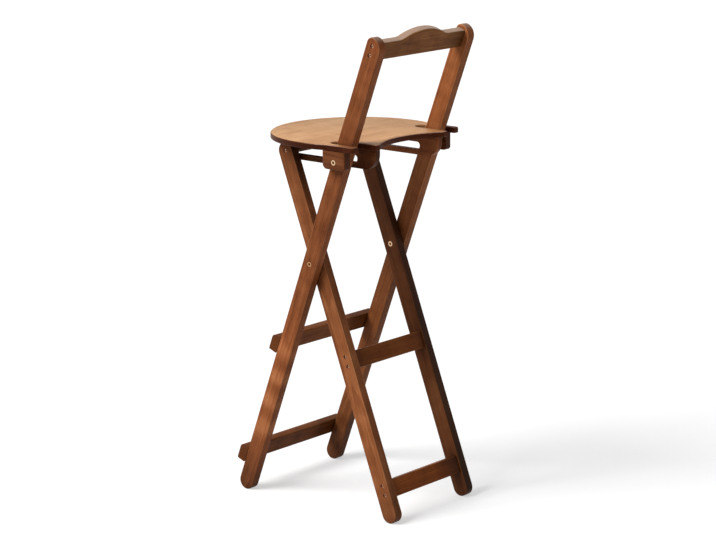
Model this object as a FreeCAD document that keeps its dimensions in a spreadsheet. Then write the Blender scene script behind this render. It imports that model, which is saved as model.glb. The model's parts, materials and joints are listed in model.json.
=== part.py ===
"""Folding bar stool: two crossed leg frames and a seat that slides on the short frame as it folds.

Millimetres. +X is the sitter's left, +Y points to the backrest, +Z is up. The origin is on the floor,
straight below the crossing of the two leg frames.

The long frame leans back from the front feet to the backrest. The short frame leans the other way,
from the rear feet to the front of the seat. Both hinge on the cross pivots. The seat hinges on the
long legs, and a rod between the short legs' tops runs in the slots of its two slide rails. The rod and
the seat pivot are equally far from the cross pivot, so the seat turns half as far as the short frame.
"""

import FreeCAD, Part

import math
import os
import re

import Sketcher

# ----------------------------------------------------------------------------------------------
# Driving dimensions
# ----------------------------------------------------------------------------------------------

SIZES = {
    # leg frames, lengths measured along the legs
    "leg_lean": 20.8,                # degrees from upright, both frames
    "leg_width": 35.0,               # front face to rear face
    "leg_thickness": 20.0,
    "leg_below_cross": 525.0,        # cross pivot to the foot's end
    "seat_pivot_reach": 225.0,       # cross pivot to seat pivot, and cross pivot to slide rod
    "stile_above_cross": 480.0,      # cross pivot to the stile's top end
    "outer_width": 283.0,            # across the long legs
    "side_gap": 1.5,                 # between pieces that swing past each other
    "wood_round": 2.5,               # small rounding of sawn edges
    "stile_front_corner": 12.0,      # the stile's top, which is rounder behind

    # rails of the long frame, across the legs' front faces
    "front_rail_height": 35.0,
    "front_rail_thickness": 20.0,
    "foot_rail_drop": 195.0,         # cross pivot to rail centre, along the legs
    "lower_front_rail_rise": 70.0,   # foot's end to rail centre
    "front_rail_round": 9.0,         # top front edge, where the foot rests

    # rails of the short frame, between the legs
    "rear_rail_height": 35.0,
    "rear_rail_thickness": 20.0,
    "rear_rail_inset": 4.0,          # from the legs' rear faces
    "rear_mid_rail_drop": 201.0,
    "rear_low_rail_rise": 65.0,

    # crest rail, between the stiles
    "crest_tip_drop": 7.5,           # stile's top end to the crest's shoulders
    "crest_end_height": 35.5,
    "crest_hump_rise": 16.0,
    "crest_hump_radius": 140.0,
    "crest_hump_blend": 30.0,        # radius of the hollow at each foot of the hump
    "crest_thickness": 18.0,
    "crest_inset": 11.5,             # from the stiles' rear faces
    "crest_round": 3.0,

    # seat board
    "seat_overhang": 10.5,           # round front's radius, beyond the pivot blocks
    "seat_centre_back": 2.0,         # round front's centre, behind the cross pivot
    "seat_thickness": 11.5,
    "seat_top_round": 3.0,
    "seat_under_round": 2.0,
    "ear_overhang": 21.5,            # behind the pivot block
    "ear_corner": 6.0,
    "notch_outer_gap": 2.0,          # outside the stile
    "notch_inner_gap": 15.5,         # inside the stile
    "notch_front_gap": 23.0,         # ahead of the stile
    "board_rear_overhang": 7.1,      # behind the slide rails
    "scallop_depth": 29.5,
    "scallop_margin": 10.0,          # from the notch to the scallop's end

    # seat pivot blocks and slide rails
    "pivot_drop": 21.7,              # board's underside to the pivot and slot centre line
    "block_length": 56.0,
    "block_height": 35.7,
    "block_thickness": 16.0,
    "block_front_corner": 10.0,
    "block_rear_corner": 6.0,
    "rail_height": 39.7,
    "rail_thickness": 11.0,
    "rail_front_overhang": 32.0,     # ahead of the rod
    "rail_rear_overhang": 55.0,      # behind the seat pivot
    "rail_front_corner": 20.0,
    "rail_rear_corner": 30.0,

    # slide rod
    "rod_diameter": 14.4,
    "rod_play": 0.3,                 # radial, in the slots
    "rod_socket": 10.0,              # depth in each short leg
    "glue_fit": 0.05,                # radial, a glued or driven joint

    # pivot bolts, with a sleeve nut that is the bearing
    "sleeve_diameter": 8.0,
    "sleeve_end_gap": 3.0,           # sleeve's end to the bolt's head
    "bolt_diameter": 5.0,
    "bolt_engagement": 24.0,
    "pivot_head_diameter": 10.0,
    "pivot_head_height": 2.5,
    "pivot_head_socket": 4.0,        # across flats
    "pivot_socket_depth": 1.8,
    "pivot_recess_gap": 0.3,         # round and under the heads
    "running_fit": 0.08,             # radial, sleeve in a moving piece
    "washer_diameter": 18.0,
    "washer_play": 0.2,

    # wood screws
    "screw_diameter": 4.0,
    "screw_length": 42.0,
    "screw_head_diameter": 7.2,
    "screw_head_height": 3.2,
    "screw_socket": 2.5,             # across flats
    "screw_socket_depth": 1.8,
    "screw_bore_gap": 0.4,           # radial, head in its counterbore
    "screw_bore_depth": 6.0,
    "pilot_spare": 1.0,              # hole deeper than the screw or bolt in it
    "screw_spacing": 19.0,
    "under_screw_length": 36.0,      # up through the blocks and slide rails
    "board_screw_bite": 9.0,         # depth in the seat board
    "block_screw_offset": 18.0,      # either side of the seat pivot
    "rail_screw_ahead": 20.0,        # ahead of the rod
    "rail_screw_behind": 22.0,       # behind the seat pivot
}

# Lengths that follow from the driving dimensions, as expressions over their names.
DERIVED = {
    "foot_radius": "leg_width / 2",
    "stile_rear_corner": "leg_width - stile_front_corner",
    "cross_height": "foot_radius + (leg_below_cross - foot_radius) * cos(leg_lean)",
    "pivot_back": "seat_pivot_reach * sin(leg_lean)",
    "pivot_height": "cross_height + seat_pivot_reach * cos(leg_lean)",
    "long_outer": "outer_width / 2",
    "long_inner": "long_outer - leg_thickness",
    "short_outer": "long_inner - side_gap",
    "short_inner": "short_outer - leg_thickness",
    "block_inner": "long_outer + side_gap",
    "block_outer": "block_inner + block_thickness",
    "slide_outer": "short_inner - side_gap",
    "slide_inner": "slide_outer - rail_thickness",
    "board_under": "pivot_drop",
    "board_top": "pivot_drop + seat_thickness",
    "stile_half_depth": "leg_width / 2 / cos(leg_lean)",
    "stile_lean_at_top": "board_top * tan(leg_lean)",
    "notch_front": "stile_lean_at_top - stile_half_depth - notch_front_gap",
    "head_recess_radius": "pivot_head_diameter / 2 + pivot_recess_gap",
    "head_recess_depth": "pivot_head_height + pivot_recess_gap",
    "screw_bore_diameter": "screw_head_diameter + 2 * screw_bore_gap",
    "slot_height": "rod_diameter + 2 * rod_play",
    "lower_front_rail_drop": "leg_below_cross - lower_front_rail_rise",
    "rear_low_rail_drop": "leg_below_cross - rear_low_rail_rise",
    "crest_bottom_reach": "stile_above_cross - crest_tip_drop - crest_end_height",
    "seat_radius": "block_outer + seat_overhang",
    "ear_end": "block_length / 2 + ear_overhang",
    "board_end": "rail_rear_overhang + board_rear_overhang",
    "notch_outer": "long_outer + notch_outer_gap",
    "notch_inner": "long_inner - notch_inner_gap",
    "notch_radius": "(notch_outer - notch_inner) / 2",
    "notch_end": "notch_front + notch_radius",
    "scallop_half": "notch_inner - scallop_margin",
    "scallop_radius": "(scallop_half ^ 2 + scallop_depth ^ 2) / (2 * scallop_depth)",
}

doc = FreeCAD.newDocument("FoldingBarStool")
sheet = doc.addObject("Spreadsheet::Sheet", "Sizes")
for row, (alias, number) in enumerate(SIZES.items(), start=1):
    sheet.set("A%d" % row, alias)
    sheet.set("B%d" % row, str(number))
    sheet.setAlias("B%d" % row, alias)
doc.recompute()

NAME = re.compile(r"[a-z][a-z_]+")


def spell(expression, prefix):
    """The expression with derived names written out and sheet names given their prefix."""
    def swap(match):
        word = match.group(0)
        if word in DERIVED:
            return "(" + spell(DERIVED[word], prefix) + ")"
        return prefix + word if word in SIZES else word
    return NAME.sub(swap, expression)


def value(expression):
    """The number that an expression over the sheet's names gives now."""
    return float(sheet.evalExpression(spell(expression, "")))


def bind(thing, prop, expression):
    """Tie a property of a document object to the sheet."""
    thing.setExpression(prop, spell(expression, "Sizes."))


# ----------------------------------------------------------------------------------------------
# Frames that the pieces are drawn in
# ----------------------------------------------------------------------------------------------

# A leg frame is drawn upright with its cross pivot at the origin, then leant over.
LONG_FRAME = {"height": "cross_height", "back": "0", "lean": "-leg_lean"}
SHORT_FRAME = {"height": "cross_height", "back": "0", "lean": "leg_lean"}
# The seat is drawn with its pivot axis on the origin.
SEAT_FRAME = {"height": "pivot_height", "back": "pivot_back", "lean": "0"}

SIDES = {"left": 1, "right": -1}
sub_parts = []


def stand(thing, frame):
    """Place a finished sub-part by its frame."""
    thing.Placement = FreeCAD.Placement(
        FreeCAD.Vector(0, value(frame["back"]), value(frame["height"])),
        FreeCAD.Rotation(FreeCAD.Vector(1, 0, 0), value(frame["lean"])),
    )
    bind(thing, "Placement.Base.y", frame["back"])
    bind(thing, "Placement.Base.z", frame["height"])
    bind(thing, "Placement.Rotation.Angle", frame["lean"])


def new_body(label, frame=None):
    body = doc.addObject("PartDesign::Body", label)
    body.Label = label
    if frame:
        stand(body, frame)
        sub_parts.append(body)
    return body


# ----------------------------------------------------------------------------------------------
# Sketches
# ----------------------------------------------------------------------------------------------

FLAT_TOLERANCE = 1e-6


def new_sketch(body, plane, offset="0"):
    """A sketch on one of the body's own origin planes, moved along that plane's normal."""
    count = len([item for item in body.Group if item.isDerivedFrom("Sketcher::SketchObject")])
    sketch = body.newObject("Sketcher::SketchObject", "%s_sketch_%d" % (body.Label, count + 1))
    origin_plane = [item for item in body.Origin.OriginFeatures if item.Role == plane][0]
    sketch.AttachmentSupport = [(origin_plane, "")]
    sketch.MapMode = "FlatFace"
    bind(sketch, "AttachmentOffset.Base.z", offset)
    return sketch


def dimension(sketch, kind, geometry, expression, point=None):
    """Add one dimension that the sheet drives."""
    number = value(expression)
    if point is None:
        index = sketch.addConstraint(Sketcher.Constraint(kind, geometry, number))
    else:
        index = sketch.addConstraint(Sketcher.Constraint(kind, -1, 1, geometry, point, number))
    name = "%s_%d" % (kind, index)
    sketch.renameConstraint(index, name)
    bind(sketch, "Constraints." + name, expression)


def draw_circle(sketch, across, up, radius):
    centre = FreeCAD.Vector(value(across), value(up), 0)
    circle = Part.Circle(centre, FreeCAD.Vector(0, 0, 1), value(radius))
    geometry = sketch.addGeometry(circle, False)
    dimension(sketch, "DistanceX", geometry, across, point=3)
    dimension(sketch, "DistanceY", geometry, up, point=3)
    dimension(sketch, "Radius", geometry, radius)


def draw_outline(sketch, corners):
    """A closed outline of straight edges and arcs.

    Each corner is (across, up) or (across, up, radius, side): the second form joins this corner to
    the next by an arc of that radius, bulging to the left (+1) or right (-1) of the way drawn.
    """
    places = [FreeCAD.Vector(value(corner[0]), value(corner[1]), 0) for corner in corners]
    edges = []
    for index, corner in enumerate(corners):
        start = places[index]
        end = places[(index + 1) % len(places)]
        if len(corner) == 2:
            edges.append(sketch.addGeometry(Part.LineSegment(start, end), False))
            continue
        chord = end - start
        radius = max(value(corner[2]), chord.Length / 2)
        sag = radius - math.sqrt(max(radius ** 2 - chord.Length ** 2 / 4, 0))
        leftward = FreeCAD.Vector(-chord.y, chord.x, 0).normalize()
        middle = (start + end) * 0.5 + leftward * (corner[3] * sag)
        edges.append(sketch.addGeometry(Part.Arc(start, middle, end), False))
    for index, corner in enumerate(corners):
        edge = edges[index]
        bulges_right = len(corner) == 4 and corner[3] < 0
        is_arc = len(corner) == 4
        # Sketch arcs run anticlockwise, so a rightward bulge starts at point 1 and a leftward at 2.
        first = 1 if not is_arc or bulges_right else 2
        before = corners[index - 1]
        last = 2 if len(before) == 2 or before[3] < 0 else 1
        sketch.addConstraint(Sketcher.Constraint("Coincident", edges[index - 1], last, edge, first))
        dimension(sketch, "DistanceX", edge, corner[0], point=first)
        dimension(sketch, "DistanceY", edge, corner[1], point=first)
        if is_arc:
            fix_arc(sketch, edge, corner, corners[(index + 1) % len(corners)])
    return edges


def fix_arc(sketch, edge, corner, following):
    """Give an arc with fixed ends its one remaining dimension: its radius, or a half round's centre."""
    across = value(following[0]) - value(corner[0])
    up = value(following[1]) - value(corner[1])
    if value(corner[2]) > math.hypot(across, up) / 2 + FLAT_TOLERANCE:
        dimension(sketch, "Radius", edge, corner[2])
    elif abs(across) > abs(up):
        dimension(sketch, "DistanceY", edge, "(%s + %s) / 2" % (corner[1], following[1]), point=3)
    else:
        dimension(sketch, "DistanceX", edge, "(%s + %s) / 2" % (corner[0], following[0]), point=3)


def rectangle(left, right, bottom, top):
    return [(left, bottom), (right, bottom), (right, top), (left, top)]


# ----------------------------------------------------------------------------------------------
# Features
# ----------------------------------------------------------------------------------------------

def pad(body, sketch, length, along_normal=True, symmetric=False):
    feature = body.newObject("PartDesign::Pad", body.Label + "_pad")
    feature.Profile = sketch
    bind(feature, "Length", length)
    feature.Reversed = not along_normal
    if symmetric:
        feature.SideType = "Symmetric"
    doc.recompute()
    return feature


def pocket(body, sketch, depth=None, along_normal=False):
    """Cut a sketch out of the body, right through it where no depth is given."""
    volume_before = body.Shape.Volume
    feature = body.newObject("PartDesign::Pocket", body.Label + "_pocket")
    feature.Profile = sketch
    feature.Reversed = along_normal
    if depth is None:
        feature.Type = "ThroughAll"
    else:
        bind(feature, "Length", depth)
    doc.recompute()
    if body.Shape.Volume > volume_before - FLAT_TOLERANCE:
        raise RuntimeError("a pocket of %s cuts nothing" % body.Label)
    return feature


def drill(body, plane, offset, centres, diameter, depth=None, along_normal=False):
    """Round holes, started on a plane and sunk against or along its normal."""
    sketch = new_sketch(body, plane, offset)
    for across, up in centres:
        draw_circle(sketch, across, up, "(%s) / 2" % diameter)
    return pocket(body, sketch, depth, along_normal)


def round_edges(body, radius, chosen):
    """Round those edges of the body's last feature that the test picks."""
    base = body.Tip
    names = []
    for index, edge in enumerate(base.Shape.Edges, start=1):
        if chosen(edge):
            names.append("Edge%d" % index)
    fillet = body.newObject("PartDesign::Fillet", body.Label + "_rounding")
    fillet.Base = (base, names)
    bind(fillet, "Radius", radius)
    doc.recompute()
    return fillet


def is_at(low, high, place):
    return abs(low - place) < FLAT_TOLERANCE * 100 and abs(high - place) < FLAT_TOLERANCE * 100


def edge_at_x(place):
    return lambda edge: is_at(edge.BoundBox.XMin, edge.BoundBox.XMax, place)


def edge_at_z(place):
    return lambda edge: is_at(edge.BoundBox.ZMin, edge.BoundBox.ZMax, place)


def edge_along_x(edge):
    return edge.BoundBox.YLength < FLAT_TOLERANCE * 100 and edge.BoundBox.ZLength < FLAT_TOLERANCE * 100


def mirrored_x(side, expression):
    """The expression on the left side of the stool, and its negative on the right."""
    return expression if side > 0 else "-(%s)" % expression


# ----------------------------------------------------------------------------------------------
# Wooden legs
# ----------------------------------------------------------------------------------------------

STILE_TOP = [
    ("foot_radius", "(stile_above_cross - stile_rear_corner)", "stile_rear_corner", -1),
    ("(foot_radius - stile_rear_corner)", "stile_above_cross", "stile_front_corner", -1),
    ("-foot_radius", "(stile_above_cross - stile_front_corner)"),
]
SHORT_LEG_TOP = [
    ("foot_radius", "seat_pivot_reach", "foot_radius", -1),
    ("-foot_radius", "seat_pivot_reach"),
]


def leg_blank(label, frame, side, inner_face, outer_face, top):
    """A straight leg with a half-round foot, drawn in depth and height."""
    body = new_body(label, frame)
    sketch = new_sketch(body, "YZ_Plane", mirrored_x(side, inner_face))
    foot = "(foot_radius - leg_below_cross)"
    draw_outline(sketch, [("-foot_radius", foot, "foot_radius", -1), ("foot_radius", foot)] + top)
    pad(body, sketch, "leg_thickness", along_normal=side > 0)
    faces = [side * value(inner_face), side * value(outer_face)]
    round_edges(body, "wood_round", lambda edge: any(edge_at_x(face)(edge) for face in faces))
    return body


def rail_screw_heights(centre):
    """The two screws at a rail's end, above and below its centre line."""
    return ["%s + screw_spacing / 2" % centre, "%s - screw_spacing / 2" % centre]


CREST_CENTRE = "(crest_bottom_reach + crest_end_height / 2)"
CREST_DEPTH = "(foot_radius - crest_inset - crest_thickness / 2)"
FRONT_RAILS = {"foot_rail": "-foot_rail_drop", "lower_front_rail": "-lower_front_rail_drop"}
REAR_RAILS = {"rear_mid_rail": "-rear_mid_rail_drop", "rear_low_rail": "-rear_low_rail_drop"}
REAR_RAIL_DEPTH = "(foot_radius - rear_rail_inset - rear_rail_thickness / 2)"
SCREW_HOLE = "(screw_diameter + 2 * glue_fit)"
SLEEVE_HOLE = "(sleeve_diameter + 2 * glue_fit)"
SLEEVE_RUNNING_HOLE = "(sleeve_diameter + 2 * running_fit)"
HEAD_RECESS = "(2 * head_recess_radius)"
HEADS_AND_GAP = "2 * pivot_head_height - sleeve_end_gap"


def long_leg(name, side):
    """Front foot to backrest in one piece, with the cross pivot, the seat pivot and the screw holes."""
    body = leg_blank("long_leg_" + name, LONG_FRAME, side, "long_inner", "long_outer", STILE_TOP)
    outer = mirrored_x(side, "long_outer")
    inner = mirrored_x(side, "long_inner")
    inward = side < 0
    drill(body, "YZ_Plane", outer, [("0", "0"), ("0", "seat_pivot_reach")], SLEEVE_HOLE,
          along_normal=inward)
    drill(body, "YZ_Plane", outer, [("0", "0")], HEAD_RECESS, "pivot_head_height", inward)
    drill(body, "YZ_Plane", inner, [("0", "seat_pivot_reach")], HEAD_RECESS, "pivot_head_height",
          not inward)
    crest_screws = [(CREST_DEPTH, up) for up in rail_screw_heights(CREST_CENTRE)]
    drill(body, "YZ_Plane", outer, crest_screws, SCREW_HOLE, along_normal=inward)
    drill(body, "YZ_Plane", outer, crest_screws, "screw_bore_diameter", "screw_bore_depth", inward)
    centre = mirrored_x(side, "(long_outer - leg_thickness / 2)")
    rail_screws = [(centre, up) for drop in FRONT_RAILS.values() for up in rail_screw_heights(drop)]
    reach = "(screw_length + screw_bore_depth - front_rail_thickness + pilot_spare)"
    drill(body, "XZ_Plane", "foot_radius", rail_screws, SCREW_HOLE, reach)
    return body


def short_leg(name, side):
    """Rear foot to the front of the seat, with the cross pivot, the rod's socket and the screw holes."""
    body = leg_blank("short_leg_" + name, SHORT_FRAME, side, "short_inner", "short_outer", SHORT_LEG_TOP)
    outer = mirrored_x(side, "short_outer")
    inner = mirrored_x(side, "short_inner")
    inward = side < 0
    drill(body, "YZ_Plane", outer, [("0", "0")], SLEEVE_RUNNING_HOLE, along_normal=inward)
    drill(body, "YZ_Plane", inner, [("0", "0")], HEAD_RECESS, "head_recess_depth", not inward)
    drill(body, "YZ_Plane", inner, [("0", "seat_pivot_reach")], "(rod_diameter + 2 * glue_fit)",
          "rod_socket", not inward)
    screws = [("0", "seat_pivot_reach")]
    for drop in REAR_RAILS.values():
        screws += [(REAR_RAIL_DEPTH, up) for up in rail_screw_heights(drop)]
    drill(body, "YZ_Plane", outer, screws, SCREW_HOLE, along_normal=inward)
    drill(body, "YZ_Plane", outer, screws, "screw_bore_diameter", "screw_bore_depth", inward)
    return body


# ----------------------------------------------------------------------------------------------
# Rails
# ----------------------------------------------------------------------------------------------

def front_rail(label, centre):
    """A rail across the front faces of the long legs, its top front edge well rounded for feet."""
    body = new_body(label, LONG_FRAME)
    sketch = new_sketch(body, "XZ_Plane", "foot_radius")
    low = "%s - front_rail_height / 2" % centre
    high = "%s + front_rail_height / 2" % centre
    draw_outline(sketch, rectangle("-long_outer", "long_outer", low, high))
    pad(body, sketch, "front_rail_thickness")
    front = -value("foot_radius + front_rail_thickness")
    top = value(high)

    def is_top_front(edge):
        box = edge.BoundBox
        return edge_along_x(edge) and is_at(box.YMin, box.YMax, front) and is_at(box.ZMin, box.ZMax, top)

    round_edges(body, "wood_round", lambda edge: edge_along_x(edge) and not is_top_front(edge))
    round_edges(body, "front_rail_round", is_top_front)
    holes = []
    for side in SIDES.values():
        across = mirrored_x(side, "(long_outer - leg_thickness / 2)")
        holes += [(across, up) for up in rail_screw_heights(centre)]
    face = "(foot_radius + front_rail_thickness)"
    drill(body, "XZ_Plane", face, holes, SCREW_HOLE, along_normal=False)
    drill(body, "XZ_Plane", face, holes, "screw_bore_diameter", "screw_bore_depth")
    return body


def rear_rail(label, centre):
    """A rail butted between the short legs, set in from their rear faces."""
    body = new_body(label, SHORT_FRAME)
    sketch = new_sketch(body, "XZ_Plane", "rear_rail_inset - foot_radius")
    low = "%s - rear_rail_height / 2" % centre
    high = "%s + rear_rail_height / 2" % centre
    draw_outline(sketch, rectangle("-short_inner", "short_inner", low, high))
    pad(body, sketch, "rear_rail_thickness")
    round_edges(body, "wood_round", edge_along_x)
    pilot = "(screw_length + screw_bore_depth - leg_thickness + pilot_spare)"
    holes = [(REAR_RAIL_DEPTH, up) for up in rail_screw_heights(centre)]
    for side in SIDES.values():
        drill(body, "YZ_Plane", mirrored_x(side, "short_inner"), holes, SCREW_HOLE, pilot, side < 0)
    return body


def crest_rail():
    """The humped top rail: a hump of one radius that runs out through a small hollow at each foot."""
    body = new_body("crest_rail", LONG_FRAME)
    sketch = new_sketch(body, "XZ_Plane", "crest_inset - foot_radius")
    both = "(crest_hump_radius + crest_hump_blend)"
    shoulder = "(crest_bottom_reach + crest_end_height)"
    foot = "sqrt(2 * %s * crest_hump_rise - crest_hump_rise ^ 2)" % both
    turn = "(%s * crest_hump_radius / %s)" % (foot, both)
    turn_up = "(%s + crest_hump_rise - crest_hump_radius + (%s - crest_hump_rise) * crest_hump_radius / %s)"
    turn_up = turn_up % (shoulder, both, both)
    draw_outline(sketch, [
        ("-long_inner", "crest_bottom_reach"),
        ("long_inner", "crest_bottom_reach"),
        ("long_inner", shoulder),
        (foot, shoulder, "crest_hump_blend", 1),
        (turn, turn_up, "crest_hump_radius", -1),
        ("-" + turn, turn_up, "crest_hump_blend", 1),
        ("-" + foot, shoulder),
        ("-long_inner", shoulder),
    ])
    pad(body, sketch, "crest_thickness")
    round_edges(body, "crest_round",
                lambda edge: edge.BoundBox.YLength < FLAT_TOLERANCE and edge.BoundBox.XLength > 1)
    pilot = "(screw_length + screw_bore_depth - leg_thickness + pilot_spare)"
    holes = [(CREST_DEPTH, up) for up in rail_screw_heights(CREST_CENTRE)]
    for side in SIDES.values():
        drill(body, "YZ_Plane", mirrored_x(side, "long_inner"), holes, SCREW_HOLE, pilot, side < 0)
    return body


# ----------------------------------------------------------------------------------------------
# Seat
# ----------------------------------------------------------------------------------------------

UNDER_SCREW_REACH = "(board_under + board_screw_bite - under_screw_length)"
BLOCK_CENTRE = "(block_inner + block_thickness / 2)"
SLIDE_CENTRE = "(slide_inner + rail_thickness / 2)"
ROD_REST = "(-2 * pivot_back)"


def block_screw_places(side):
    across = mirrored_x(side, BLOCK_CENTRE)
    return [(across, "block_screw_offset"), (across, "-block_screw_offset")]


def slide_screw_places(side):
    across = mirrored_x(side, SLIDE_CENTRE)
    return [(across, "(%s - rail_screw_ahead)" % ROD_REST), (across, "rail_screw_behind")]


def seat_board():
    """Round in front, with an ear outside each stile, a notch for the stile, and a scalloped back."""
    body = new_body("seat_board", SEAT_FRAME)
    sketch = new_sketch(body, "XY_Plane", "board_under")
    centre = "(seat_centre_back - pivot_back)"
    ear_start = "(%s + sqrt(seat_radius ^ 2 - block_outer ^ 2))" % centre
    draw_outline(sketch, [
        ("0", "%s - seat_radius" % centre, "seat_radius", -1),
        ("block_outer", ear_start),
        ("block_outer", "ear_end - ear_corner", "ear_corner", -1),
        ("block_outer - ear_corner", "ear_end"),
        ("notch_outer", "ear_end"),
        ("notch_outer", "notch_end", "notch_radius", 1),
        ("notch_inner", "notch_end"),
        ("notch_inner", "board_end"),
        ("scallop_half", "board_end", "scallop_radius", 1),
        ("-scallop_half", "board_end"),
        ("-notch_inner", "board_end"),
        ("-notch_inner", "notch_end", "notch_radius", 1),
        ("-notch_outer", "notch_end"),
        ("-notch_outer", "ear_end"),
        ("ear_corner - block_outer", "ear_end", "ear_corner", -1),
        ("-block_outer", "ear_end - ear_corner"),
        ("-block_outer", ear_start, "seat_radius", -1),
    ])
    pad(body, sketch, "seat_thickness")
    round_edges(body, "seat_top_round", edge_at_z(value("board_top")))
    round_edges(body, "seat_under_round", edge_at_z(value("board_under")))
    holes = []
    for side in SIDES.values():
        holes += block_screw_places(side) + slide_screw_places(side)
    drill(body, "XY_Plane", "board_under", holes, SCREW_HOLE, "board_screw_bite", along_normal=True)
    return body


def pivot_block(name, side):
    """Hangs under an ear, outside the long leg, and turns on the seat pivot's sleeve."""
    body = new_body("pivot_block_" + name, SEAT_FRAME)
    sketch = new_sketch(body, "YZ_Plane", mirrored_x(side, "block_inner"))
    front = "-block_length / 2"
    rear = "block_length / 2"
    low = "(pivot_drop - block_height)"
    draw_outline(sketch, [
        (front + " + block_front_corner", low),
        (rear + " - block_rear_corner", low, "block_rear_corner", -1),
        (rear, low + " + block_rear_corner"),
        (rear, "board_under"),
        (front, "board_under"),
        (front, low + " + block_front_corner", "block_front_corner", -1),
    ])
    pad(body, sketch, "block_thickness", along_normal=side > 0)
    outer_face = side * value("block_outer")
    under = value("board_under")
    round_edges(body, "wood_round",
                lambda edge: edge_at_x(outer_face)(edge) and not edge_at_z(under)(edge))
    outer = mirrored_x(side, "block_outer")
    drill(body, "YZ_Plane", outer, [("0", "0")], SLEEVE_RUNNING_HOLE, along_normal=side < 0)
    drill(body, "YZ_Plane", outer, [("0", "0")], HEAD_RECESS, "head_recess_depth", side < 0)
    places = block_screw_places(side)
    drill(body, "XY_Plane", low, places, SCREW_HOLE, along_normal=True)
    drill(body, "XY_Plane", low, places, "screw_bore_diameter",
          "%s - %s" % (UNDER_SCREW_REACH, low), along_normal=True)
    return body


def slide_rail(name, side):
    """Hangs under the board, inside the short leg; the rod runs in its slot, in line with the pivot."""
    body = new_body("slide_rail_" + name, SEAT_FRAME)
    sketch = new_sketch(body, "YZ_Plane", mirrored_x(side, "slide_inner"))
    front = "(%s - rail_front_overhang)" % ROD_REST
    low = "(pivot_drop - rail_height)"
    draw_outline(sketch, [
        (front + " + rail_front_corner", low),
        ("rail_rear_overhang - rail_rear_corner", low, "rail_rear_corner", -1),
        ("rail_rear_overhang", low + " + rail_rear_corner"),
        ("rail_rear_overhang", "board_under"),
        (front, "board_under"),
        (front, low + " + rail_front_corner", "rail_front_corner", -1),
    ])
    pad(body, sketch, "rail_thickness", along_normal=side > 0)
    slot = new_sketch(body, "YZ_Plane", mirrored_x(side, "slide_outer"))
    half = "slot_height / 2"
    draw_outline(slot, [
        (ROD_REST, "-" + half),
        ("0", "-" + half, half, -1),
        ("0", half),
        (ROD_REST, half, half, -1),
    ])
    pocket(body, slot, along_normal=side < 0)
    places = slide_screw_places(side)
    drill(body, "XY_Plane", low, places, SCREW_HOLE, along_normal=True)
    drill(body, "XY_Plane", low, places, "screw_bore_diameter",
          "%s - %s" % (UNDER_SCREW_REACH, low), along_normal=True)
    return body


def slide_rod():
    """The round rod that joins the short legs' tops and carries the front of the seat."""
    body = new_body("slide_rod", SHORT_FRAME)
    sketch = new_sketch(body, "YZ_Plane")
    draw_circle(sketch, "0", "seat_pivot_reach", "rod_diameter / 2")
    pad(body, sketch, "2 * (short_inner + rod_socket)", symmetric=True)
    pilot = "(screw_length + screw_bore_depth + rod_socket - leg_thickness + pilot_spare)"
    for side in SIDES.values():
        end = mirrored_x(side, "(short_inner + rod_socket)")
        drill(body, "YZ_Plane", end, [("0", "seat_pivot_reach")], SCREW_HOLE, pilot, side < 0)
    return body


# ----------------------------------------------------------------------------------------------
# Fasteners
# ----------------------------------------------------------------------------------------------

def turned(label, outline):
    """A piece turned about its own Z axis, from an outline of radius and height."""
    body = new_body(label)
    sketch = new_sketch(body, "XZ_Plane")
    draw_outline(sketch, outline)
    feature = body.newObject("PartDesign::Revolution", label + "_turning")
    feature.Profile = sketch
    feature.ReferenceAxis = (sketch, ["V_Axis"])
    feature.Angle = 360
    doc.recompute()
    return body


def cut_hex(body, across_flats, depth, height):
    """A hexagon socket sunk from a height along +Z."""
    sketch = new_sketch(body, "XY_Plane", height)
    corners = []
    for step in range(6):
        angle = 60 * step
        corners.append(("(%s) / sqrt(3) * cos(%d)" % (across_flats, angle),
                        "(%s) / sqrt(3) * sin(%d)" % (across_flats, angle)))
    draw_outline(sketch, corners)
    pocket(body, sketch, depth, along_normal=True)


def wood_screw(label, length):
    """Points along +Z, with the underside of its head at the origin."""
    head = "screw_head_diameter / 2"
    shank = "screw_diameter / 2"
    body = turned(label, [
        ("0", "-screw_head_height"),
        (head, "-screw_head_height"),
        (head, "0"),
        (shank, "0"),
        (shank, "%s - 2 * screw_diameter" % length),
        ("0", length),
    ])
    cut_hex(body, "screw_socket", "screw_socket_depth", "-screw_head_height")
    return body


def pivot_bolt():
    """Points along +Z into the sleeve nut, with the underside of its head at the origin."""
    body = turned("pivot_bolt_pattern", [
        ("0", "-pivot_head_height"),
        ("pivot_head_diameter / 2", "-pivot_head_height"),
        ("pivot_head_diameter / 2", "0"),
        ("bolt_diameter / 2", "0"),
        ("bolt_diameter / 2", "sleeve_end_gap + bolt_engagement"),
        ("0", "sleeve_end_gap + bolt_engagement"),
    ])
    cut_hex(body, "pivot_head_socket", "pivot_socket_depth", "-pivot_head_height")
    return body


def sleeve_nut(label, length):
    """A flanged sleeve that points along +Z, with the underside of its flange at the origin."""
    body = turned(label, [
        ("0", "-pivot_head_height"),
        ("pivot_head_diameter / 2", "-pivot_head_height"),
        ("pivot_head_diameter / 2", "0"),
        ("sleeve_diameter / 2", "0"),
        ("sleeve_diameter / 2", length),
        ("0", length),
    ])
    bore = "(bolt_diameter + 2 * glue_fit)"
    drill(body, "XY_Plane", length, [("0", "0")], bore, "bolt_engagement + pilot_spare")
    cut_hex(body, "pivot_head_socket", "pivot_socket_depth", "-pivot_head_height")
    return body


def washer():
    """Lies on the XY plane and is as thick as the side gap less its play."""
    body = new_body("washer_pattern")
    sketch = new_sketch(body, "XY_Plane")
    draw_circle(sketch, "0", "0", "washer_diameter / 2")
    pad(body, sketch, "side_gap - washer_play")
    drill(body, "XY_Plane", "0", [("0", "0")], SLEEVE_HOLE, along_normal=True)
    return body


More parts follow.
